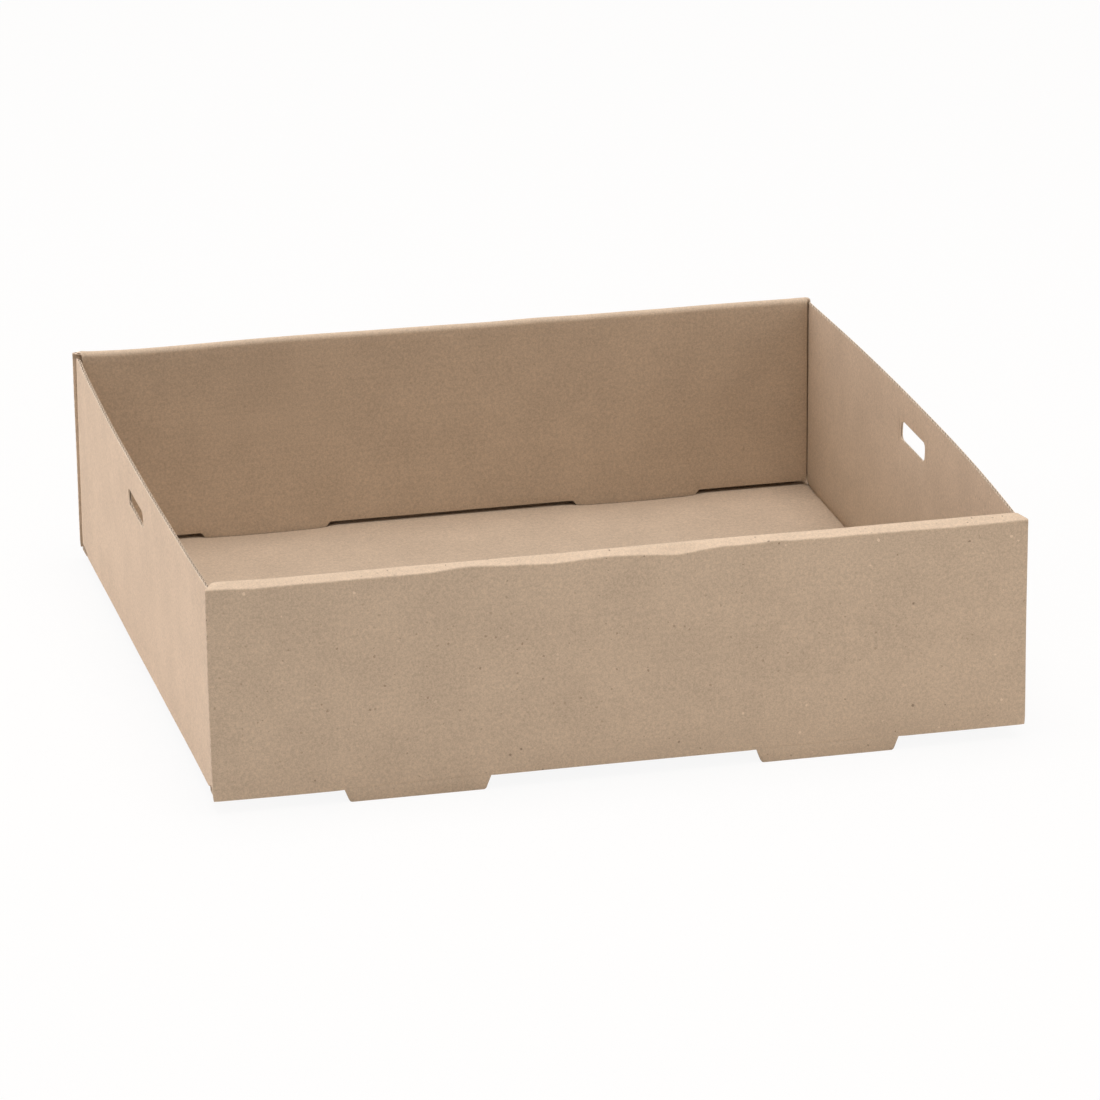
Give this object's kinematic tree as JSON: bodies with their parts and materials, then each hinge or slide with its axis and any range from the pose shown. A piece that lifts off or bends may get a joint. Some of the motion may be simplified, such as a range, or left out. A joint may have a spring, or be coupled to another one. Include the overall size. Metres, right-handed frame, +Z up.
{
  "type": "cardboard tray box",
  "caption": "Open corrugated cardboard tray with rolled-over double end walls, bowed single side walls with hand holes, and foot tabs that lift its base off the table.",
  "frame": {"origin": "middle of the footprint, on the plane of the foot tabs' lower edges", "axes": "+X across the tray along its end walls, +Y from the front end wall to the back one, +Z up"},
  "size_m": [0.3046, 0.285, 0.0852],
  "materials": {
    "kraft_board": "matte brown kraft"
  },
  "bodies": {
    "root": {"tray": "kraft_board"}
  },
  "joints": []
}
